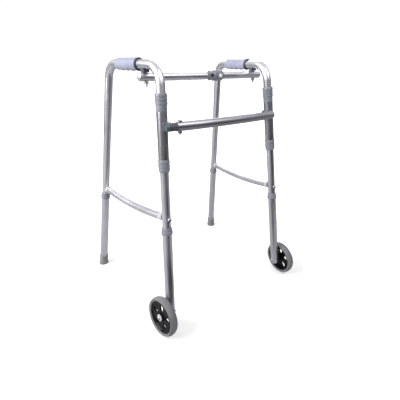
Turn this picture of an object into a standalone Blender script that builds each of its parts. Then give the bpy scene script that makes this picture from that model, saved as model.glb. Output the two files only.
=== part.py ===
"""Folding walking frame with two front wheels and two rear rubber tips.

Metres, +Z up, front towards -Y, origin on the floor under the middle of the frame.
"left" is the user's left hand (+X) and "right" the user's right hand (-X).
"""

import math

import bmesh
import bpy
import numpy as np
from mathutils import Matrix, Vector

# ---------------------------------------------------------------- driving sizes
GAP = 0.0003                 # air between pieces that touch

FRONT_FOOT_X = 0.2495        # front leg axis on the floor, from the middle
FRONT_FOOT_Y = -0.2208
SPLAY = math.radians(5.1)    # each side frame opens outwards towards the back
LEAN = math.radians(4.4)     # and leans inwards towards the top
FRONT_RAKE = math.radians(6.6)
REAR_RAKE = math.radians(8.5)
DEPTH = 0.4834               # front leg axis to rear leg axis on the floor
HANDLE_HEIGHT = 0.786        # handle tube axis, up the side plane
FRONT_BEND = 0.055
REAR_BEND = 0.050

TUBE_R = 0.0127              # frame tube, 25.4 mm outside
TUBE_WALL = 0.0014
LEG_R = 0.0143               # lower leg, 28.6 mm outside
LEG_BORE_R = 0.0130
BRACE_R = 0.0110
TUBE_SIDES = 16

WHEEL_R = 0.0635
WHEEL_WIDTH = 0.026
RIM_R = 0.0525
WHEEL_OFFSET = 0.0300        # wheel middle to leg axis
AXLE_R = 0.0040

SLEEVE_R = 0.0150
SLEEVE_BORE_R = TUBE_R + 0.0004
SLEEVE_TOP = 0.716           # heights of the sleeve and its collars
TOP_COLLAR_BASE = 0.687
NECK_BASE = 0.670
BOTTOM_COLLAR_TOP = 0.544
SLEEVE_BASE = 0.5095

CROSSBAR_Z = 0.634
CROSSBAR_AHEAD = 0.0335      # crossbar axis in front of the leg axis
CROSSBAR_BOW = 0.009

LOCK_BAR_Y = -0.0584
LOCK_BAR_Z = 0.752
LOCK_BAR_R = 0.0111          # 22.2 mm outside
LOCK_PIN_X = 0.2045          # vertical bolts under the handles
KNUCKLE_X = 0.0145
HOUSING_END_X = 0.062
BUTTON_X = 0.0486
PIN_TILT = math.radians(7.0)

GRIP_FRONT = 0.192           # along the handle, from the front leg's floor point
GRIP_REAR = 0.306
GRIP_R = 0.0168

LOWER_FRONT_TOP = 0.326
LOWER_REAR_TOP = 0.312
COLLAR_HEIGHT = 0.021
LEG_BUTTON_DROP = 0.026      # height button below the top of its lower leg
INNER_FRONT_END = 0.090
INNER_REAR_END = 0.075
TIP_HEIGHT = 0.0436
TIP_R = 0.0170

BRACE_REAR_Z = 0.350
BRACE_FRONT_Z = 0.373
BRACE_SAG = 0.010

SIDES = {"left": 1, "right": -1}

# ------------------------------------------------------------------- clear scene
for old in list(bpy.data.objects):
    bpy.data.objects.remove(old, do_unlink=True)

# --------------------------------------------------------------------- materials
FINISHES = {
    # name: (colour, metallic, roughness)
    "anodised_aluminium": ((0.60, 0.60, 0.63), 1.0, 0.34),
    "sleeve_aluminium": ((0.52, 0.52, 0.56), 1.0, 0.40),
    "zinc_steel": ((0.55, 0.55, 0.56), 1.0, 0.38),
    "blue_grey_plastic": ((0.10, 0.125, 0.17), 0.0, 0.50),
    "dark_plastic": ((0.045, 0.05, 0.062), 0.0, 0.48),
    "grip_vinyl": ((0.27, 0.32, 0.40), 0.0, 0.55),
    "pale_plastic": ((0.72, 0.74, 0.76), 0.0, 0.40),
    "tip_rubber": ((0.20, 0.20, 0.21), 0.0, 0.75),
    "tyre_rubber": ((0.17, 0.17, 0.18), 0.0, 0.72),
    "rim_plastic": ((0.012, 0.012, 0.015), 0.0, 0.30),
    "cap_plastic": ((0.36, 0.36, 0.38), 0.0, 0.42),
}


def finish(obj, kind):
    """Give the object a material of its own."""
    colour, metallic, roughness = FINISHES[kind]
    mat = bpy.data.materials.new(obj.name + "_" + kind)
    mat.use_nodes = True
    shader = mat.node_tree.nodes["Principled BSDF"]
    shader.inputs["Base Color"].default_value = (*colour, 1.0)
    shader.inputs["Metallic"].default_value = metallic
    shader.inputs["Roughness"].default_value = roughness
    obj.data.materials.clear()
    obj.data.materials.append(mat)


# ---------------------------------------------------------------------- geometry
def side_axes(side):
    """Rearward, upward and outward unit vectors of one side frame's plane."""
    rear = Vector((side * math.sin(SPLAY), math.cos(SPLAY), 0.0))
    flat_out = Vector((side * math.cos(SPLAY), -math.sin(SPLAY), 0.0))
    up = flat_out * -math.sin(LEAN) + Vector((0, 0, math.cos(LEAN)))
    out = flat_out * math.cos(LEAN) + Vector((0, 0, math.sin(LEAN)))
    return rear, up, out


def on_side(side, back, high, outward=0.0):
    """World point from a distance back, up and outward in a side frame's plane."""
    rear, up, out = side_axes(side)
    foot = Vector((side * FRONT_FOOT_X, FRONT_FOOT_Y, 0.0))
    return foot + rear * back + up * high + out * outward


def front_leg(side, z):
    """Point on the front leg's axis at height z."""
    high = z / math.cos(LEAN)
    return on_side(side, high * math.tan(FRONT_RAKE), high)


def rear_leg(side, z):
    """Point on the rear leg's axis at height z."""
    high = z / math.cos(LEAN)
    return on_side(side, DEPTH - high * math.tan(REAR_RAKE), high)


def front_axis(side):
    return (front_leg(side, 0.6) - front_leg(side, 0.0)).normalized()


def rear_axis(side):
    return (rear_leg(side, 0.6) - rear_leg(side, 0.0)).normalized()


def frame_of(axis, near=Vector((0, 0, 1))):
    """Two unit vectors square to axis, the first as close to `near` as it can be."""
    axis = axis.normalized()
    if abs(axis.dot(near)) > 0.99:
        near = Vector((0, 1, 0))
    first = (near - axis * near.dot(axis)).normalized()
    return first, axis.cross(first)


def new_object(name, bm, kind, smooth=True):
    bmesh.ops.recalc_face_normals(bm, faces=bm.faces)
    mesh = bpy.data.meshes.new(name)
    bm.to_mesh(mesh)
    bm.free()
    if smooth:
        mesh.shade_smooth()
        mesh.set_sharp_from_angle(angle=math.radians(35))
    obj = bpy.data.objects.new(name, mesh)
    bpy.context.scene.collection.objects.link(obj)
    finish(obj, kind)
    return obj


def turned(name, base, axis, outline, kind, sides=TUBE_SIDES, near=Vector((0, 0, 1))):
    """Lathe a closed outline of (radius, distance along axis) round the axis."""
    axis = axis.normalized()
    first, second = frame_of(axis, near)
    bm = bmesh.new()
    rings = []
    for radius, along in outline:
        centre = base + axis * along
        if radius < 1e-7:
            rings.append([bm.verts.new(centre)])
            continue
        ring = []
        for i in range(sides):
            turn = 2 * math.pi * i / sides
            spoke = first * math.cos(turn) + second * math.sin(turn)
            ring.append(bm.verts.new(centre + spoke * radius))
        rings.append(ring)
    count = len(rings)
    for k in range(count):
        here, after = rings[k], rings[(k + 1) % count]
        if len(here) == 1 and len(after) == 1:
            continue
        for i in range(sides):
            j = (i + 1) % sides
            if len(here) == 1:
                bm.faces.new((here[0], after[j], after[i]))
            elif len(after) == 1:
                bm.faces.new((here[i], here[j], after[0]))
            else:
                bm.faces.new((here[i], here[j], after[j], after[i]))
    return new_object(name, bm, kind)


def rod(radius, start, end):
    """Outline of a plain solid cylinder."""
    return [(0, start), (radius, start), (radius, end), (0, end)]


def ring_outline(inner, outer, start, end, chamfer=0.0):
    """Outline of a tube or washer, with its outer edges broken."""
    return [
        (inner, start),
        (outer - chamfer, start),
        (outer, start + chamfer),
        (outer, end - chamfer),
        (outer - chamfer, end),
        (inner, end),
    ] if chamfer else [(inner, start), (outer, start), (outer, end), (inner, end)]


def bent_path(corners, radii, steps=5):
    """Polyline through the corners, with an arc of the given radius at each inner one."""
    path = [corners[0]]
    for k in range(1, len(corners) - 1):
        before = (corners[k - 1] - corners[k]).normalized()
        after = (corners[k + 1] - corners[k]).normalized()
        half = before.angle(after) / 2
        centre = corners[k] + (before + after).normalized() * (radii[k - 1] / math.sin(half))
        start = corners[k] + before * (radii[k - 1] / math.tan(half)) - centre
        end = corners[k] + after * (radii[k - 1] / math.tan(half)) - centre
        swing = start.angle(end)
        for i in range(steps + 1):
            t = i / steps
            point = start * math.sin((1 - t) * swing) + end * math.sin(t * swing)
            path.append(centre + point / math.sin(swing))
    path.append(corners[-1])
    return path


def swept_tube(name, path, outer, inner, kind, near, sides=TUBE_SIDES):
    """Hollow tube along a path, open at both ends."""
    bm = bmesh.new()
    skins = []
    for radius in (outer, inner):
        rings = []
        for k, point in enumerate(path):
            before = path[max(k - 1, 0)]
            after = path[min(k + 1, len(path) - 1)]
            tangent = (after - before).normalized()
            first = (near - tangent * near.dot(tangent)).normalized()
            second = tangent.cross(first)
            ring = []
            for i in range(sides):
                turn = 2 * math.pi * i / sides
                spoke = first * math.cos(turn) + second * math.sin(turn)
                ring.append(bm.verts.new(point + spoke * radius))
            rings.append(ring)
        skins.append(rings)
        for here, after in zip(rings, rings[1:]):
            for i in range(sides):
                j = (i + 1) % sides
                bm.faces.new((here[i], here[j], after[j], after[i]))
    for end in (0, -1):
        outside, inside = skins[0][end], skins[1][end]
        for i in range(sides):
            j = (i + 1) % sides
            bm.faces.new((outside[i], outside[j], inside[j], inside[i]))
    return new_object(name, bm, kind)


def block(name, centre, axes, sizes, kind):
    """Box with the given axes and full sizes."""
    bm = bmesh.new()
    bmesh.ops.create_cube(bm, size=1.0)
    turn = Matrix((axes[0], axes[1], axes[2])).transposed().to_4x4()
    shape = Matrix.Translation(centre) @ turn @ Matrix.Diagonal((*sizes, 1.0))
    bmesh.ops.transform(bm, matrix=shape, verts=bm.verts)
    return new_object(name, bm, kind, smooth=False)


def prism(name, outline, centre, axes, depth, kind):
    """Extrude a flat outline, given along axes[0] and axes[1], by depth about its plane."""
    bm = bmesh.new()
    layers = []
    for level in (-depth / 2, depth / 2):
        ring = []
        for x, y in outline:
            ring.append(bm.verts.new(centre + axes[0] * x + axes[1] * y + axes[2] * level))
        layers.append(ring)
    bm.faces.new(layers[0])
    bm.faces.new(layers[1])
    count = len(outline)
    for i in range(count):
        j = (i + 1) % count
        bm.faces.new((layers[0][i], layers[0][j], layers[1][j], layers[1][i]))
    return new_object(name, bm, kind, smooth=False)


def combine(target, tools, operation):
    """Cut tools from, or join them to, the target, and remove them."""
    for tool in tools:
        change = target.modifiers.new("shape", "BOOLEAN")
        change.operation = operation
        change.solver = "EXACT"
        change.object = tool
        graph = bpy.context.evaluated_depsgraph_get()
        mesh = bpy.data.meshes.new_from_object(target.evaluated_get(graph))
        kept = target.data.materials[0]
        target.modifiers.remove(change)
        target.data = mesh
        mesh.materials.clear()
        mesh.materials.append(kept)
        mesh.shade_smooth()
        mesh.set_sharp_from_angle(angle=math.radians(35))
        bpy.data.objects.remove(tool, do_unlink=True)


def drill(target, centre, axis, radius, length, sides=12):
    """Cut a round hole of the given length, centred on a point."""
    tool = turned("drill", centre, axis, rod(radius, -length / 2, length / 2), "zinc_steel", sides)
    combine(target, [tool], "DIFFERENCE")


def dome(radius, start, bulge, steps=3):
    """Quarter-ellipse outline points from the rim to the tip of a domed end."""
    points = []
    for i in range(1, steps + 1):
        turn = math.pi / 2 * i / steps
        r = radius * math.cos(turn)
        points.append((0 if i == steps else r, start + bulge * math.sin(turn)))
    return points


X_AXIS = Vector((1, 0, 0))
Y_AXIS = Vector((0, 1, 0))
Z_AXIS = Vector((0, 0, 1))
PIN_AXIS = Vector((0, math.sin(PIN_TILT), math.cos(PIN_TILT)))


# -------------------------------------------------------------------- side frames
def side_frame(name, side):
    """One bent tube: front leg, handle and rear leg."""
    rear, up, out = side_axes(side)
    front_corner = HANDLE_HEIGHT * math.tan(FRONT_RAKE)
    rear_corner = DEPTH - HANDLE_HEIGHT * math.tan(REAR_RAKE)
    corners = [
        front_leg(side, INNER_FRONT_END),
        on_side(side, front_corner, HANDLE_HEIGHT),
        on_side(side, rear_corner, HANDLE_HEIGHT),
        rear_leg(side, INNER_REAR_END),
    ]
    path = bent_path(corners, [FRONT_BEND, REAR_BEND])
    frame = swept_tube(name + "_side_frame", path, TUBE_R, TUBE_R - TUBE_WALL,
                       "anodised_aluminium", out)
    # keyways that the height buttons run in
    for leg, axis, top, end in (
        (front_leg, front_axis(side), LOWER_FRONT_TOP, INNER_FRONT_END),
        (rear_leg, rear_axis(side), LOWER_REAR_TOP, INNER_REAR_END),
    ):
        back, across = frame_of(axis, rear)
        slot_top = top - LEG_BUTTON_DROP + 0.006
        slot_base = end - 0.010
        middle = leg(side, (slot_top + slot_base) / 2) + back * TUBE_R
        tool = block("key", middle, (back, across, axis),
                     (0.010, 0.0082, slot_top - slot_base), "zinc_steel")
        combine(frame, [tool], "DIFFERENCE")
    front, back = front_leg(side, BRACE_FRONT_Z), rear_leg(side, BRACE_REAR_Z)
    for centre in (front, back):
        drill(frame, centre, back - front, 0.0035, 0.04)
    return frame


def handle_grip(name, side):
    """Moulded grip over the handle tube, with finger waves underneath."""
    rear, up, out = side_axes(side)
    stations, sides = 17, 14
    length = GRIP_REAR - GRIP_FRONT
    bm = bmesh.new()
    outer, inner = [], []
    for k in range(stations):
        t = k / (stations - 1)
        centre = on_side(side, GRIP_FRONT + length * t, HANDLE_HEIGHT)
        end_round = 0.0032 * (1 - min(1.0, min(t, 1 - t) * 14)) ** 2
        wave = 0.0016 * math.cos(2 * math.pi * 4 * t)
        ring_out, ring_in = [], []
        for i in range(sides):
            turn = 2 * math.pi * i / sides
            spoke = up * math.cos(turn) + out * math.sin(turn)
            under = max(0.0, -math.cos(turn))
            radius = GRIP_R - end_round + wave * under
            ring_out.append(bm.verts.new(centre + spoke * radius))
            if k in (0, stations - 1):
                ring_in.append(bm.verts.new(centre + spoke * (TUBE_R + 0.0006)))
        outer.append(ring_out)
        if ring_in:
            inner.append(ring_in)
    for skin in (outer, inner):
        for here, after in zip(skin, skin[1:]):
            for i in range(sides):
                j = (i + 1) % sides
                bm.faces.new((here[i], here[j], after[j], after[i]))
    for end in (0, -1):
        for i in range(sides):
            j = (i + 1) % sides
            bm.faces.new((outer[end][i], outer[end][j], inner[end][j], inner[end][i]))
    grip = new_object(name + "_grip", bm, "grip_vinyl")
    ring_base = on_side(side, GRIP_FRONT, HANDLE_HEIGHT)
    turned(name + "_grip_collar", ring_base, -rear,
           ring_outline(TUBE_R + GAP, GRIP_R + 0.0010, GAP, 0.0055, 0.0015), "dark_plastic", near=up)
    return grip


def pin_bracket(name, side):
    """Saddle under the handle that carries the lock bar's bolt."""
    rear, up, out = side_axes(side)
    pin = Vector((side * LOCK_PIN_X, LOCK_BAR_Y, LOCK_BAR_Z))
    foot = Vector((side * FRONT_FOOT_X, FRONT_FOOT_Y, 0.0))
    back = (pin - foot).dot(rear)
    handle = on_side(side, back, HANDLE_HEIGHT)
    first, second = frame_of(PIN_AXIS, rear)
    base = pin + PIN_AXIS * (LOCK_BAR_R + 0.0008)
    top = handle - up * 0.005
    height = (top - base).dot(PIN_AXIS)
    centre = base + PIN_AXIS * height / 2
    body = block(name + "_pin_bracket", centre, (first, second, PIN_AXIS),
                 (0.016, 0.018, height), "dark_plastic")
    tube = turned("tube", handle, rear, rod(TUBE_R + GAP, -0.03, 0.03), "zinc_steel", 32)
    combine(body, [tube], "DIFFERENCE")
    if side > 0:
        drill(body, base, PIN_AXIS, 0.0034, 0.03)
    bolt_top = 0.0185 if side > 0 else LOCK_BAR_R + 0.0004
    nut = -LOCK_BAR_R - 0.0010
    outline = [
        (0, bolt_top), (0.0030, bolt_top), (0.0030, nut), (0.0065, nut),
        (0.0065, nut - 0.0055), (0.0030, nut - 0.0059), (0.0030, nut - 0.0125),
        (0, nut - 0.0133),
    ]
    turned(name + "_lock_bar_bolt", pin, PIN_AXIS, outline, "zinc_steel", 12)
    return body


def brace(name, side):
    """Low tube between the legs, with its end plugs and bolts."""
    rear, up, out = side_axes(side)
    front = front_leg(side, BRACE_FRONT_Z)
    back = rear_leg(side, BRACE_REAR_Z)
    along = (back - front).normalized()
    span = (back - front).length
    plug = 0.013
    # the legs aren't quite square to the brace, so flat ends stand off a little more
    skew = max(abs(along.dot(front_axis(side))), abs(along.dot(rear_axis(side))))
    start = TUBE_R + 0.0004 + BRACE_R * skew * 1.05 + plug
    seat = TUBE_R + 0.0004 + 0.0058 * skew * 1.05
    path = []
    steps = 6
    for i in range(steps + 1):
        t = i / steps
        distance = start + (span - 2 * start) * t
        path.append(front + along * distance - up * BRACE_SAG * 4 * t * (1 - t))
    swept_tube(name + "_brace", path, BRACE_R, BRACE_R - 0.0013, "anodised_aluminium", out, 14)
    head = [(0, 0), (0.0058, 0), (0.0058, 0.0035), (0.0040, 0.0048), (0, 0.0052)]
    for end, centre, inward, tangent in (
        ("front", front, along, (path[1] - path[0]).normalized()),
        ("rear", back, -along, (path[-2] - path[-1]).normalized()),
    ):
        nose = path[0] if end == "front" else path[-1]
        outline = [
            (0, -plug), (BRACE_R - 0.001, -plug),
            (BRACE_R + 0.0008, -plug + 0.0024), (BRACE_R + 0.0008, -GAP),
            (BRACE_R - 0.0013 - GAP, -GAP), (BRACE_R - 0.0013 - GAP, 0.016), (0, 0.016),
        ]
        plug_piece = turned(name + "_brace_" + end + "_plug", nose, tangent, outline,
                            "cap_plastic", 14, out)
        drill(plug_piece, centre + inward * 0.02, inward, 0.0033, 0.022, 12)
        outline = [(0, -0.026)] + [(0.0030, -0.026), (0.0030, seat)]
        outline += [(r, seat + t) for r, t in head[1:]]
        turned(name + "_brace_" + end + "_bolt", centre, -inward, outline, "zinc_steel", 12, out)


# ------------------------------------------------------------------ lower legs
def lower_leg(name, side, which):
    """Telescoping outer tube with its locking collar and height button."""
    rear, up, out = side_axes(side)
    is_front = which == "front"
    leg = front_leg if is_front else rear_leg
    axis = front_axis(side) if is_front else rear_axis(side)
    top = LOWER_FRONT_TOP if is_front else LOWER_REAR_TOP
    bottom = 0.054 if is_front else 0.014
    base = leg(side, bottom)
    length = (leg(side, top) - base).length
    if is_front:
        outline = [(LEG_BORE_R, length), (LEG_R, length), (LEG_R, 0.0)]
        outline += dome(LEG_R, 0.0, -0.008)
        outline += [(0, 0.0035), (LEG_BORE_R, 0.0035)]
    else:
        outline = [(LEG_BORE_R, length), (LEG_R, length), (LEG_R, 0.0), (LEG_BORE_R, 0.0)]
    tube = turned(f"{name}_{which}_lower_leg", base, axis, outline, "anodised_aluminium",
                  near=out)
    collar_base = leg(side, top)
    inner = TUBE_R + 0.0004
    outline = [
        (inner, GAP), (0.0160, GAP), (0.0168, 0.0015), (0.0168, 0.0085), (0.0158, 0.0095),
        (0.0150, COLLAR_HEIGHT - 0.002), (0.0142, COLLAR_HEIGHT), (inner, COLLAR_HEIGHT),
    ]
    turned(f"{name}_{which}_height_collar", collar_base, axis, outline, "blue_grey_plastic",
           near=out)
    back = frame_of(axis, rear)[0]
    centre = leg(side, top - LEG_BUTTON_DROP)
    drill(tube, centre + back * LEG_R, back, 0.0035, 0.008, 12)
    outline = [(0, 0.0122), (0.0032, 0.0122), (0.0032, 0.0158), (0.0022, 0.0170), (0, 0.0174)]
    turned(f"{name}_{which}_height_button", centre, back, outline, "zinc_steel", 12, out)
    return tube


def rear_tip(name, side):
    """Rubber tip with a flared foot, cut flat where it stands on the floor."""
    axis = rear_axis(side)
    base = rear_leg(side, 0.0)
    bore = LEG_R + GAP
    outline = [
        (0, -0.010), (TIP_R + 0.0015, -0.010), (TIP_R + 0.0015, 0.006), (TIP_R, 0.012),
        (TIP_R - 0.0008, 0.028), (TIP_R, 0.034), (TIP_R, TIP_HEIGHT - 0.001),
        (TIP_R - 0.001, TIP_HEIGHT), (bore, TIP_HEIGHT), (bore, 0.0115), (0, 0.0115),
    ]
    tip = turned(name + "_rear_tip", base, axis, outline, "tip_rubber", 20)
    below = block("below", base + Vector((0, 0, -0.02)), (X_AXIS, Y_AXIS, Z_AXIS),
                  (0.08, 0.08, 0.04), "tip_rubber")
    combine(tip, [below], "DIFFERENCE")
    return tip


# ---------------------------------------------------------------------- wheels
def wheel_outline():
    """Tread and side walls of the tyre, as (radius, distance across)."""
    half = WHEEL_WIDTH / 2
    seat = RIM_R + GAP
    return [
        (seat, -half + 0.003), (0.0565, -half + 0.001), (0.0592, -half),
        (WHEEL_R - 0.0038, -half + 0.0016), (WHEEL_R - 0.0012, -half + 0.0060),
        (WHEEL_R, 0.0), (WHEEL_R - 0.0012, half - 0.0060),
        (WHEEL_R - 0.0038, half - 0.0016), (0.0592, half), (0.0565, half - 0.001),
        (seat, half - 0.003),
    ]


def wheel_centre(side):
    """Wheel middle, with the tread's lowest point on the floor."""
    rear, up, out = side_axes(side)
    reach = max(r * math.cos(LEAN) + abs(x) * math.sin(LEAN) for r, x in wheel_outline())
    axle_z = reach - WHEEL_OFFSET * math.sin(LEAN)
    return front_leg(side, axle_z) + out * WHEEL_OFFSET


def wheel(name, side):
    rear, up, out = side_axes(side)
    centre = wheel_centre(side)
    turned(name + "_tyre", centre, out, wheel_outline(), "tyre_rubber", 36, up)
    half = WHEEL_WIDTH / 2
    hub_r, bore = 0.0135, AXLE_R + GAP
    inner_face, outer_face = -half + 0.0008, half - 0.0020
    rim = turned(name + "_rim", centre, out, [
        (bore, inner_face), (hub_r, inner_face), (hub_r, 0.0015), (RIM_R - 0.0075, 0.0015),
        (RIM_R - 0.0040, -half + 0.0035), (RIM_R, -half + 0.0035), (RIM_R, half - 0.0035),
        (RIM_R - 0.0040, half - 0.0035), (RIM_R - 0.0075, 0.0065), (hub_r, 0.0065), (hub_r, outer_face),
        (bore, outer_face),
    ], "rim_plastic", 24, up)
    # five teardrop windows between the spokes
    for k in range(5):
        turn = 2 * math.pi * k / 5
        radial = up * math.cos(turn) + rear * math.sin(turn)
        across = out.cross(radial)
        window = []
        for i in range(8):
            a = 2 * math.pi * i / 8
            reach = 0.0305 + 0.0120 * math.cos(a)
            width = 0.0098 * math.sin(a) * (0.80 + 0.32 * math.cos(a))
            window.append((reach, width))
        tool = prism("window", window, centre, (radial, across, out), 0.03, "rim_plastic")
        combine(rim, [tool], "DIFFERENCE")
    cap = [(bore, 0), (0.0110, 0), (0.0110, 0.0020), (0.0090, 0.0036), (bore, 0.0036)]
    turned(name + "_hub_cap", centre + out * (outer_face + GAP), out, cap, "cap_plastic", 16, up)
    spacer_start = LEG_R + GAP - WHEEL_OFFSET
    head = outer_face + GAP + 0.0036 + GAP
    nut = -WHEEL_OFFSET - LEG_R - 0.0002
    bolt = [
        (0, head + 0.0030), (0.0040, head + 0.0030), (0.0056, head + 0.0018), (0.0056, head),
        (AXLE_R, head), (AXLE_R, inner_face - GAP), (0.0085, inner_face - GAP),
        (0.0085, spacer_start), (AXLE_R, spacer_start), (AXLE_R, nut), (0.0062, nut), (0.0055, nut - 0.0022),
        (0, nut - 0.0034),
    ]
    turned(name + "_axle_bolt", centre, out, bolt, "zinc_steel", 12, up)


# ------------------------------------------------------------- front crossbar
def sleeve_set(name, side):
    """Metal sleeve round the front leg with a ribbed bearing collar at each end."""
    axis = front_axis(side)
    out = side_axes(side)[2]

    def along(z):
        return (front_leg(side, z) - front_leg(side, SLEEVE_BASE)).length

    base = front_leg(side, SLEEVE_BASE)
    metal = ring_outline(SLEEVE_BORE_R, SLEEVE_R, along(BOTTOM_COLLAR_TOP) + GAP,
                         along(NECK_BASE) - GAP)
    turned(name + "_sleeve", base, axis, metal, "sleeve_aluminium", near=out)
    rib, groove = SLEEVE_R + 0.0018, SLEEVE_R + 0.0008
    low, high = along(TOP_COLLAR_BASE), along(SLEEVE_TOP)
    outline = [(SLEEVE_BORE_R, along(NECK_BASE)), (SLEEVE_R + 0.0003, along(NECK_BASE)), (SLEEVE_R + 0.0003, low)]
    ribs = 3
    pitch = (high - low) / ribs
    for k in range(ribs):
        foot = low + pitch * k
        outline += [(rib, foot + 0.0004), (rib, foot + pitch * 0.62)]
        if k < ribs - 1:
            outline += [(groove, foot + pitch * 0.70), (groove, foot + pitch * 0.96)]
    outline += [(rib - 0.0018, high), (SLEEVE_BORE_R, high)]
    turned(name + "_top_collar", base, axis, outline, "blue_grey_plastic", near=out)
    top = along(BOTTOM_COLLAR_TOP)
    outline = [(SLEEVE_BORE_R, 0.0), (rib - 0.0026, 0.0), (rib - 0.0012, 0.0022), (rib - 0.0004, 0.0060),
               (rib, 0.0100), (groove, 0.0110), (groove, 0.0130)]
    foot = 0.0140
    pitch = (top - foot) / 2
    for k in range(2):
        start = foot + pitch * k
        outline += [(rib, start), (rib, start + pitch * 0.66)]
        if k == 0:
            outline += [(groove, start + pitch * 0.72), (groove, start + pitch * 0.95)]
    outline += [(groove, top), (SLEEVE_BORE_R, top)]
    turned(name + "_bottom_collar", base, axis, outline, "blue_grey_plastic", near=out)


def crossbar():
    """Bowed bar ahead of the legs, hinged to a stub on the right-hand sleeve."""
    leg_y = front_leg(1, CROSSBAR_Z).y
    leg_x = front_leg(1, CROSSBAR_Z).x
    bar_y = leg_y - CROSSBAR_AHEAD
    start, end = -leg_x + 0.024, leg_x - 0.024

    def bar_point(x):
        t = (x - start) / (end - start)
        return Vector((x, bar_y - CROSSBAR_BOW * 4 * t * (1 - t), CROSSBAR_Z))

    steps = 6
    path = [bar_point(start + (end - start) * i / steps) for i in range(steps + 1)]
    bar = swept_tube("crossbar", path, TUBE_R, TUBE_R - TUBE_WALL, "anodised_aluminium", Z_AXIS)
    tangent = (path[-1] - path[-2]).normalized()
    cap = [(0, -0.014), (TUBE_R - TUBE_WALL - GAP, -0.014), (TUBE_R - TUBE_WALL - GAP, GAP)]
    cap += [(TUBE_R, GAP), (TUBE_R, 0.0016)] + dome(TUBE_R, 0.0016, 0.0040)
    turned("crossbar_end_cap", path[-1], tangent, cap, "cap_plastic", near=Z_AXIS)
    stub_axis = (path[1] - path[0]).normalized()
    inside = TUBE_R - TUBE_WALL - GAP
    ribs = []
    for k in range(5):
        ribs += [(0.0112, -0.0020 - 0.0054 * k), (0.0112, -0.0050 - 0.0054 * k),
                 (0.0098, -0.0056 - 0.0054 * k), (0.0098, -0.0068 - 0.0054 * k)]
    stub = turned("crossbar_hinge_stub", path[0], stub_axis, [
        (0, 0.030), (inside, 0.030), (inside, -GAP),
    ] + ribs + [(0.0095, -0.032), (0, -0.032)], "dark_plastic", near=Z_AXIS)
    bolt_at = path[0] + stub_axis * 0.010
    drill(bar, bolt_at, Z_AXIS, 0.0034, 0.04)
    drill(stub, bolt_at, Z_AXIS, 0.0034, 0.04)
    turned("crossbar_hinge_bolt", bolt_at, Z_AXIS, [
        (0, 0.0180), (0.0045, 0.0175), (0.0068, 0.0160), (0.0068, TUBE_R + 0.0004),
        (0.0030, TUBE_R + 0.0004), (0.0030, -0.0132), (0.0060, -0.0132), (0.0060, -0.0178),
        (0.0030, -0.0182), (0.0030, -0.0215), (0, -0.0220),
    ], "zinc_steel", 16)
    for name, side in SIDES.items():
        leg = front_leg(side, CROSSBAR_Z)
        x = leg.x - 0.019 if side > 0 else leg.x + 0.004
        width = 0.030 if side > 0 else 0.022
        near_bar = Vector((x, bar_y, CROSSBAR_Z))
        middle = (near_bar + Vector((x, leg.y, CROSSBAR_Z))) / 2
        saddle = block(name + "_crossbar_saddle", middle, (X_AXIS, Y_AXIS, Z_AXIS),
                       (width, CROSSBAR_AHEAD, 0.021), "dark_plastic")
        sleeve = turned("sleeve", leg, front_axis(side), rod(SLEEVE_R + GAP, -0.04, 0.04),
                        "zinc_steel", 32)
        if side > 0:
            pipe = swept_tube("pipe", path, TUBE_R + GAP, 0.001, "zinc_steel", Z_AXIS, 32)
            nose = turned("nose", path[-1], tangent, rod(TUBE_R + GAP, -0.03, 0.03),
                          "zinc_steel", 32, Z_AXIS)
            combine(saddle, [sleeve, pipe, nose], "DIFFERENCE")
        else:
            pipe = turned("pipe", path[0], stub_axis, rod(0.0119, -0.06, 0.03), "zinc_steel", 32,
                          Z_AXIS)
            combine(saddle, [sleeve, pipe], "DIFFERENCE")


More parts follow.
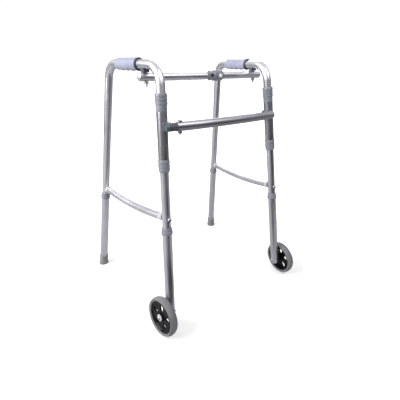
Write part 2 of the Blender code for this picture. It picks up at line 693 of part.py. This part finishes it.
# ------------------------------------------------------------- folding lock bar
def lock_bar():
    """Upper bar in two halves that meet at a knuckle with a push button."""
    knuckle = Vector((KNUCKLE_X, LOCK_BAR_Y, LOCK_BAR_Z))
    wall = LOCK_BAR_R - TUBE_WALL
    end_dome = 0.006
    right_end = LOCK_PIN_X + 0.024 + KNUCKLE_X - end_dome
    left_end = LOCK_PIN_X + 0.032 - KNUCKLE_X - end_dome
    left_start = 0.0195
    # right half runs towards -X from the knuckle, left half towards +X
    halves = (
        ("right_lock_bar", -X_AXIS, 0.0125, right_end),
        ("left_lock_bar", X_AXIS, left_start, left_end),
    )
    bars = {}
    for name, way, near_end, far_end in halves:
        outline = [(wall, near_end), (LOCK_BAR_R, near_end), (LOCK_BAR_R, far_end)]
        outline += dome(LOCK_BAR_R, far_end, end_dome)
        outline += [(0, far_end - 0.0015), (wall, far_end - 0.0015)]
        bars[name] = turned(name, knuckle, way, outline, "anodised_aluminium", near=Z_AXIS)
    for name, x in (("right_lock_bar", -LOCK_PIN_X), ("left_lock_bar", LOCK_PIN_X)):
        pin = Vector((x, LOCK_BAR_Y, LOCK_BAR_Z))
        drill(bars[name], pin, PIN_AXIS, 0.0034, 0.04)
    ball = 0.0120
    outline = []
    for i in range(6):
        turn = math.pi / 2 * i / 5
        outline.append((ball * math.sin(turn), -ball * math.cos(turn)))
    body = HOUSING_END_X - KNUCKLE_X
    outline += [(0.0128, 0.0080), (0.0150, 0.0135)]
    ribs = 3
    for k in range(ribs):
        foot = 0.0150 + 0.0046 * k
        outline += [(0.0158, foot), (0.0158, foot + 0.0026), (0.0150, foot + 0.0030),
                    (0.0150, foot + 0.0042)]
    outline += [(0.0160, 0.0300), (0.0160, body - 0.0015), (0.0150, body)]
    bore = LOCK_BAR_R + GAP
    outline += [(bore, body), (bore, left_start - GAP), (0, left_start - GAP)]
    housing = turned("knuckle_housing", knuckle, X_AXIS, outline, "blue_grey_plastic", 16, Z_AXIS)
    across = PIN_AXIS.cross(X_AXIS)
    slot = block("slot", knuckle - X_AXIS * 0.0010, (X_AXIS, across, PIN_AXIS),
                 (0.0230, 0.05, 0.0088), "zinc_steel")
    combine(housing, [slot], "DIFFERENCE")
    drill(housing, knuckle, PIN_AXIS, 0.0029, 0.05)
    half_width = 0.0084
    outline = [(-0.034, -half_width), (-0.034, half_width)]
    for i in range(9):
        turn = math.pi / 2 - math.pi * i / 8
        outline.append((half_width * math.cos(turn), half_width * math.sin(turn)))
    tongue = prism("knuckle_tongue", outline, knuckle, (X_AXIS, across, PIN_AXIS), 0.0072,
                   "zinc_steel")
    drill(tongue, knuckle, PIN_AXIS, 0.0029, 0.03)
    head = 0.0126
    turned("knuckle_pin", knuckle, PIN_AXIS, [
        (0, head + 0.0015), (0.0034, head + 0.0015), (0.0044, head + 0.0004), (0.0044, head),
        (0.0026, head), (0.0026, -head), (0.0044, -head), (0.0044, -head - 0.0004),
        (0.0034, -head - 0.0015), (0, -head - 0.0015),
    ], "zinc_steel", 16)
    button_at = Vector((BUTTON_X, LOCK_BAR_Y, LOCK_BAR_Z))
    for target in (housing, bars["left_lock_bar"]):
        drill(target, button_at - Y_AXIS * 0.0125, Y_AXIS, 0.0062, 0.014, 20)
    turned("release_button", button_at, -Y_AXIS, [
        (0, 0.0090), (0.0058, 0.0090), (0.0058, 0.0172), (0.0048, 0.0182), (0, 0.0188),
    ], "pale_plastic", 24)


for side_name, side_sign in SIDES.items():
    side_frame(side_name, side_sign)
    handle_grip(side_name, side_sign)
    pin_bracket(side_name, side_sign)
    brace(side_name, side_sign)
    for leg_name in ("front", "rear"):
        lower_leg(side_name, side_sign, leg_name)
    rear_tip(side_name, side_sign)
    wheel(side_name, side_sign)
    sleeve_set(side_name, side_sign)

# axle holes through the front lower legs
for side_name, side_sign in SIDES.items():
    drill(bpy.data.objects[side_name + "_front_lower_leg"],
          wheel_centre(side_sign) - side_axes(side_sign)[2] * WHEEL_OFFSET,
          side_axes(side_sign)[2], AXLE_R + GAP, 0.04)

crossbar()
lock_bar()

total = np.array([len(o.data.polygons) for o in bpy.data.objects if o.type == "MESH"]).sum()
print("objects", len(bpy.data.objects), "faces", int(total))
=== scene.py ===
import math

import bpy
from mathutils import Matrix, Vector


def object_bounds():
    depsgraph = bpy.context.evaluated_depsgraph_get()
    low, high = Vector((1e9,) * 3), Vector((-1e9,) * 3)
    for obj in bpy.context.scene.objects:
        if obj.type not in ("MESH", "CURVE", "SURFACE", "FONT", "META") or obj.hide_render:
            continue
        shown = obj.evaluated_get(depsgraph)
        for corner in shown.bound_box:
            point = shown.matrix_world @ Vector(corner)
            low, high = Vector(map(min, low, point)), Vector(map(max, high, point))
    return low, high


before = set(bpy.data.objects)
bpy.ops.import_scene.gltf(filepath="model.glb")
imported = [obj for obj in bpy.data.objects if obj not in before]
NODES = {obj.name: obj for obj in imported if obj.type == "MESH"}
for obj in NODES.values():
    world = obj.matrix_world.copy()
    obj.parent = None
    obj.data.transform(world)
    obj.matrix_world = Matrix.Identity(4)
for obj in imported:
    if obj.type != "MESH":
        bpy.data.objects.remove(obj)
CAD_LOW, CAD_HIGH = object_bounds()
SCENE = bpy.context.scene

# the camera: where it stands, where it looks and its lens
CAMERA_AT = (-0.6264, -0.8787, 0.791)
CAMERA_YAW = -0.639
CAMERA_PITCH = 0.4181
CAMERA_ROLL = 0.0073
LENS_MM = 27.995
SENSOR_MM = 36

# the room, in metres and strengths
FLOOR_HALF = 30.0
FLOOR_Z = -0.0004
FLOOR_COLOUR = (0.62, 0.62, 0.62)
FLOOR_REFLECTED = (0.27, 0.27, 0.28)
GLOW_NEAR, GLOW_FAR = 0.28, 1.0
GLOW_START, GLOW_END = 0.45, 1.2
WALL_LIGHT, CEILING_LIGHT = 0.26, 0.95
WHITE_BACKDROP = 1.02

# CAD mesh shading
SEAM = 0.00001
ROUND_BELOW = math.radians(34)


# ---------------------------------------------------------------- node material helpers

def new_material(name):
    mat = bpy.data.materials.new(name)
    mat.use_nodes = True
    tree = mat.node_tree
    return mat, tree, tree.nodes["Principled BSDF"]


def coordinates(tree, scale):
    coord = tree.nodes.new("ShaderNodeTexCoord")
    mapping = tree.nodes.new("ShaderNodeMapping")
    mapping.inputs["Scale"].default_value = scale
    tree.links.new(coord.outputs["Object"], mapping.inputs["Vector"])
    return mapping.outputs["Vector"]


def noise(tree, vector, scale, detail):
    node = tree.nodes.new("ShaderNodeTexNoise")
    node.inputs["Scale"].default_value = scale
    node.inputs["Detail"].default_value = detail
    node.inputs["Roughness"].default_value = 0.55
    tree.links.new(vector, node.inputs["Vector"])
    return node.outputs["Fac"]


def ramp(tree, value, low, high, start=0.3, end=0.7):
    node = tree.nodes.new("ShaderNodeMapRange")
    node.inputs["From Min"].default_value = start
    node.inputs["From Max"].default_value = end
    node.inputs["To Min"].default_value = low
    node.inputs["To Max"].default_value = high
    tree.links.new(value, node.inputs["Value"])
    return node.outputs["Result"]


def blend_colours(tree, factor, low, high):
    node = tree.nodes.new("ShaderNodeMix")
    node.data_type = "RGBA"
    node.inputs[6].default_value = (*low, 1)
    node.inputs[7].default_value = (*high, 1)
    tree.links.new(factor, node.inputs[0])
    return node.outputs[2]


def add_bump(tree, shader, height, strength, distance):
    node = tree.nodes.new("ShaderNodeBump")
    node.inputs["Strength"].default_value = strength
    node.inputs["Distance"].default_value = distance
    tree.links.new(height, node.inputs["Height"])
    tree.links.new(node.outputs["Normal"], shader.inputs["Normal"])


def drawn_metal(name, low, high, rough, grain, streak=(240, 240, 10)):
    """Anodised or plated metal: lengthwise draw marks, cloudy roughness and a little wear."""
    mat, tree, shader = new_material(name)
    shader.inputs["Metallic"].default_value = 1.0
    cloud = noise(tree, coordinates(tree, (1, 1, 1)), 11.0, 4.0)
    lines = noise(tree, coordinates(tree, streak), 1.0, 2.0)
    colour = blend_colours(tree, ramp(tree, cloud, 0, 1), low, high)
    tree.links.new(colour, shader.inputs["Base Color"])
    mix = tree.nodes.new("ShaderNodeMath")
    mix.operation = "MULTIPLY_ADD"
    tree.links.new(ramp(tree, lines, 0.0, 1.0), mix.inputs[0])
    mix.inputs[1].default_value = grain
    tree.links.new(ramp(tree, cloud, rough - 0.03, rough + 0.04), mix.inputs[2])
    tree.links.new(mix.outputs[0], shader.inputs["Roughness"])
    add_bump(tree, shader, lines, 0.04, 0.0001)
    return mat


def moulded(name, low, high, rough, bump=0.12, grain=900.0, specular=0.5):
    """Moulded plastic or rubber: fine surface texture, slight colour drift and uneven sheen."""
    mat, tree, shader = new_material(name)
    shader.inputs["Specular IOR Level"].default_value = specular
    vector = coordinates(tree, (1, 1, 1))
    drift = noise(tree, vector, 24.0, 4.0)
    fine = noise(tree, vector, grain, 2.0)
    colour = blend_colours(tree, ramp(tree, drift, 0, 1), low, high)
    tree.links.new(colour, shader.inputs["Base Color"])
    tree.links.new(ramp(tree, drift, rough - 0.05, rough + 0.06), shader.inputs["Roughness"])
    add_bump(tree, shader, fine, bump, 0.0003)
    return mat


# ---------------------------------------------------------------- finishes

TUBE = drawn_metal("anodised_tube", (0.70, 0.70, 0.75), (0.76, 0.76, 0.80), 0.30, 0.05)
# The crossbar uses the tube metal painted darker: painted shade for the dark reflections along the bar.
BAR_PAINTED_SHADE = drawn_metal("anodised_bar_painted_shade", (0.38, 0.38, 0.42), (0.43, 0.43, 0.47), 0.32, 0.05, (10, 240, 240))
# The sleeves use the tube metal painted darker: painted shade for the dark reflections on the front
# legs.
SLEEVE_PAINTED_SHADE = drawn_metal("anodised_sleeve_painted_shade", (0.36, 0.36, 0.40), (0.41, 0.41, 0.45), 0.32, 0.04)
ZINC = drawn_metal("zinc_plate", (0.52, 0.52, 0.54), (0.64, 0.64, 0.65), 0.30, 0.10, (300, 300, 300))
BLUE_GREY = moulded("blue_grey_moulding", (0.150, 0.158, 0.190), (0.190, 0.198, 0.230), 0.40)
DARK = moulded("dark_moulding", (0.050, 0.058, 0.075), (0.070, 0.080, 0.098), 0.45)
VINYL = moulded("grip_vinyl", (0.22, 0.23, 0.31), (0.27, 0.28, 0.36), 0.50, 0.15, 700.0, 0.4)
PALE = moulded("pale_moulding", (0.72, 0.74, 0.76), (0.80, 0.81, 0.83), 0.32)
TIP = moulded("tip_rubber", (0.155, 0.155, 0.165), (0.205, 0.205, 0.215), 0.70, 0.35, 600.0, 0.3)
TYRE = moulded("tyre_rubber", (0.115, 0.115, 0.122), (0.150, 0.150, 0.157), 0.60, 0.25, 650.0, 0.35)
RIM = moulded("rim_gloss_black", (0.003, 0.003, 0.004), (0.006, 0.006, 0.007), 0.25, 0.03, 500.0, 0.15)
CAP = moulded("hub_cap_moulding", (0.36, 0.36, 0.38), (0.43, 0.43, 0.45), 0.38)

ENDINGS = (
    (("_side_frame", "_lower_leg", "_brace", "_lock_bar"), TUBE),
    (("crossbar",), BAR_PAINTED_SHADE),
    (("_sleeve",), SLEEVE_PAINTED_SHADE),
    (("_bolt", "_height_button", "knuckle_pin", "knuckle_tongue"), ZINC),
    (("top_collar", "bottom_collar", "height_collar", "knuckle_housing"), BLUE_GREY),
    (("_stub", "_saddle", "_bracket", "_grip_collar"), DARK),
    (("_grip",), VINYL),
    (("release_button",), PALE),
    (("_rear_tip",), TIP),
    (("_tyre",), TYRE),
    (("_rim",), RIM),
    (("_hub_cap", "_plug", "_end_cap"), CAP),
)


def finish_of(name):
    for endings, mat in ENDINGS:
        if name.endswith(endings):
            return mat
    raise SystemExit("no finish for " + name)


def smoother(angle):
    """A modifier that joins the seams of the CAD mesh and shades every gentle edge as round."""
    tree = bpy.data.node_groups.new("round_shading", "GeometryNodeTree")
    tree.interface.new_socket("Geometry", in_out="INPUT", socket_type="NodeSocketGeometry")
    tree.interface.new_socket("Geometry", in_out="OUTPUT", socket_type="NodeSocketGeometry")
    start = tree.nodes.new("NodeGroupInput")
    end = tree.nodes.new("NodeGroupOutput")
    merge = tree.nodes.new("GeometryNodeMergeByDistance")
    merge.inputs["Distance"].default_value = SEAM
    edge = tree.nodes.new("GeometryNodeInputMeshEdgeAngle")
    small = tree.nodes.new("FunctionNodeCompare")
    small.data_type = "FLOAT"
    small.operation = "LESS_THAN"
    small.inputs[1].default_value = angle
    faces = tree.nodes.new("GeometryNodeSetShadeSmooth")
    faces.domain = "FACE"
    edges = tree.nodes.new("GeometryNodeSetShadeSmooth")
    edges.domain = "EDGE"
    tree.links.new(start.outputs[0], merge.inputs[0])
    tree.links.new(merge.outputs[0], faces.inputs["Geometry"])
    tree.links.new(faces.outputs[0], edges.inputs["Geometry"])
    tree.links.new(edge.outputs["Unsigned Angle"], small.inputs[0])
    tree.links.new(small.outputs[0], edges.inputs["Shade Smooth"])
    tree.links.new(edges.outputs[0], end.inputs[0])
    return tree


ROUND = smoother(ROUND_BELOW)
for name, obj in NODES.items():
    obj.data.materials.clear()
    obj.data.materials.append(finish_of(name))
    modifier = obj.modifiers.new("round", "NODES")
    modifier.node_group = ROUND
    weighted = obj.modifiers.new("weighted", "WEIGHTED_NORMAL")
    weighted.keep_sharp = True


# ---------------------------------------------------------------- floor, light and camera

def studio_floor():
    """Pale floor that turns to plain white away from the object and keeps its soft shadow."""
    mesh = bpy.data.meshes.new("floor")
    corners = ((-1, -1), (1, -1), (1, 1), (-1, 1))
    mesh.from_pydata([(x * FLOOR_HALF, y * FLOOR_HALF, FLOOR_Z) for x, y in corners], [], [(0, 1, 2, 3)])
    floor = bpy.data.objects.new("floor", mesh)
    SCENE.collection.objects.link(floor)
    mat = bpy.data.materials.new("pale_floor")
    mat.use_nodes = True
    tree = mat.node_tree
    tree.nodes.clear()
    out = tree.nodes.new("ShaderNodeOutputMaterial")
    diffuse = tree.nodes.new("ShaderNodeBsdfDiffuse")
    glow = tree.nodes.new("ShaderNodeEmission")
    glow.inputs["Color"].default_value = (1, 1, 1, 1)
    path = tree.nodes.new("ShaderNodeLightPath")
    shade = blend_colours(tree, path.outputs["Is Glossy Ray"], FLOOR_COLOUR, FLOOR_REFLECTED)
    tree.links.new(shade, diffuse.inputs["Color"])
    place = tree.nodes.new("ShaderNodeNewGeometry")
    away = tree.nodes.new("ShaderNodeVectorMath")
    away.operation = "LENGTH"
    tree.links.new(place.outputs["Position"], away.inputs[0])
    power = tree.nodes.new("ShaderNodeMath")
    power.operation = "MULTIPLY"
    glow_level = ramp(tree, away.outputs["Value"], GLOW_NEAR, GLOW_FAR, GLOW_START, GLOW_END)
    tree.links.new(glow_level, power.inputs[1])
    tree.links.new(path.outputs["Is Camera Ray"], power.inputs[0])
    tree.links.new(power.outputs[0], glow.inputs["Strength"])
    both = tree.nodes.new("ShaderNodeAddShader")
    tree.links.new(diffuse.outputs[0], both.inputs[0])
    tree.links.new(glow.outputs[0], both.inputs[1])
    tree.links.new(both.outputs[0], out.inputs["Surface"])
    mesh.materials.append(mat)


def studio_world():
    """White to the camera; to the object, a bright ceiling that falls to grey walls."""
    world = bpy.data.worlds.new("studio")
    world.use_nodes = True
    tree = world.node_tree
    tree.nodes.clear()
    out = tree.nodes.new("ShaderNodeOutputWorld")
    coord = tree.nodes.new("ShaderNodeTexCoord")
    split = tree.nodes.new("ShaderNodeSeparateXYZ")
    tree.links.new(coord.outputs["Generated"], split.inputs[0])
    height = tree.nodes.new("ShaderNodeMapRange")
    height.inputs["From Min"].default_value = -0.05
    height.inputs["From Max"].default_value = 0.75
    height.inputs["To Min"].default_value = WALL_LIGHT
    height.inputs["To Max"].default_value = CEILING_LIGHT
    height.interpolation_type = "SMOOTHSTEP"
    tree.links.new(split.outputs["Z"], height.inputs["Value"])
    light = tree.nodes.new("ShaderNodeBackground")
    tree.links.new(height.outputs["Result"], light.inputs["Strength"])
    white = tree.nodes.new("ShaderNodeBackground")
    white.inputs["Color"].default_value = (1, 1, 1, 1)
    white.inputs["Strength"].default_value = WHITE_BACKDROP
    path = tree.nodes.new("ShaderNodeLightPath")
    mix = tree.nodes.new("ShaderNodeMixShader")
    tree.links.new(path.outputs["Is Camera Ray"], mix.inputs[0])
    tree.links.new(light.outputs[0], mix.inputs[1])
    tree.links.new(white.outputs[0], mix.inputs[2])
    tree.links.new(mix.outputs[0], out.inputs["Surface"])
    SCENE.world = world


def aimed(place, aim):
    return (Vector(aim) - Vector(place)).to_track_quat("-Z", "Y").to_euler()


def softbox(name, place, aim, wide, high, watts):
    data = bpy.data.lights.new(name, "AREA")
    data.shape = "RECTANGLE"
    data.size = wide
    data.size_y = high
    data.energy = watts
    obj = bpy.data.objects.new(name, data)
    obj.location = place
    obj.rotation_euler = aimed(place, aim)
    SCENE.collection.objects.link(obj)


def dark_card(name, place, aim, wide, high):
    """A black card that only shows in the object's reflections."""
    mesh = bpy.data.meshes.new(name)
    w, h = wide / 2, high / 2
    mesh.from_pydata([(-w, -h, 0), (w, -h, 0), (w, h, 0), (-w, h, 0)], [], [(0, 1, 2, 3)])
    card = bpy.data.objects.new(name, mesh)
    card.location = place
    card.rotation_euler = aimed(place, aim)
    SCENE.collection.objects.link(card)
    mat, tree, shader = new_material(name)
    shader.inputs["Base Color"].default_value = (0.01, 0.01, 0.012, 1)
    shader.inputs["Roughness"].default_value = 0.9
    shader.inputs["Specular IOR Level"].default_value = 0.0
    mesh.materials.append(mat)
    card.visible_camera = False
    card.visible_shadow = False
    card.visible_diffuse = False


CENTRE = (CAD_LOW + CAD_HIGH) / 2
dark_card("front_flag", (0.34, -1.15, 0.30), (0.34, 0.0, 0.30), 1.75, 0.60)
dark_card("floor_flag", (-0.34, -0.66, 0.003), (-0.34, -0.66, 1.0), 0.84, 0.62)
studio_floor()
studio_world()
softbox("key", (-2.2, 0.5, 1.8), CENTRE, 1.9, 1.9, 120)
softbox("fill", (0.6, -2.0, 2.9), CENTRE, 2.2, 1.6, 42)
softbox("back", (1.8, 2.2, 1.9), CENTRE, 1.6, 1.6, 30)

camera_data = bpy.data.cameras.new("camera")
camera_data.sensor_width = SENSOR_MM
camera_data.lens = LENS_MM
camera_data.clip_start = 0.01
camera = bpy.data.objects.new("camera", camera_data)
tilt = Matrix.Rotation(math.pi / 2 - CAMERA_PITCH, 4, "X") @ Matrix.Rotation(CAMERA_ROLL, 4, "Z")
turn = Matrix.Rotation(CAMERA_YAW, 4, "Z") @ tilt
camera.matrix_world = Matrix.Translation(CAMERA_AT) @ turn
SCENE.collection.objects.link(camera)
SCENE.camera = camera
SCENE.view_settings.view_transform = "Standard"
